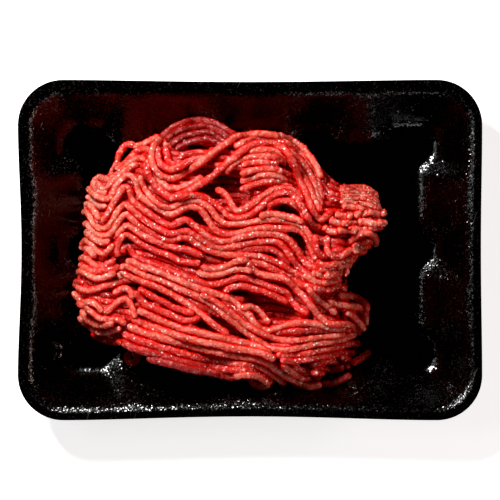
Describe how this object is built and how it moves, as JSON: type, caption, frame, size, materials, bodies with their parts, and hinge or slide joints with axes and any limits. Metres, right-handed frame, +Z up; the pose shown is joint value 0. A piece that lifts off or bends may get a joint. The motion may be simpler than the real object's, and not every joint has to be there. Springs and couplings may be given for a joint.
{
  "type": "meat tray pack",
  "caption": "Open black foam tray with rounded corners, a rolled lip and panelled sloping walls, holding an uneven heap of raw minced meat in folded strands.",
  "frame": {"origin": "middle of the tray's underside, on the table", "axes": "+X along the tray, towards the end that the heap leaves free; +Y across it, away from the viewer; +Z up"},
  "size_m": [0.225, 0.165, 0.0412],
  "materials": {
    "black_foam": "black expanded polystyrene foam with a satin skin",
    "raw_mince": "raw red minced meat with pale fat, moist"
  },
  "bodies": {
    "root": {"foam_tray": "black_foam", "mince_heap": "raw_mince"}
  },
  "joints": []
}
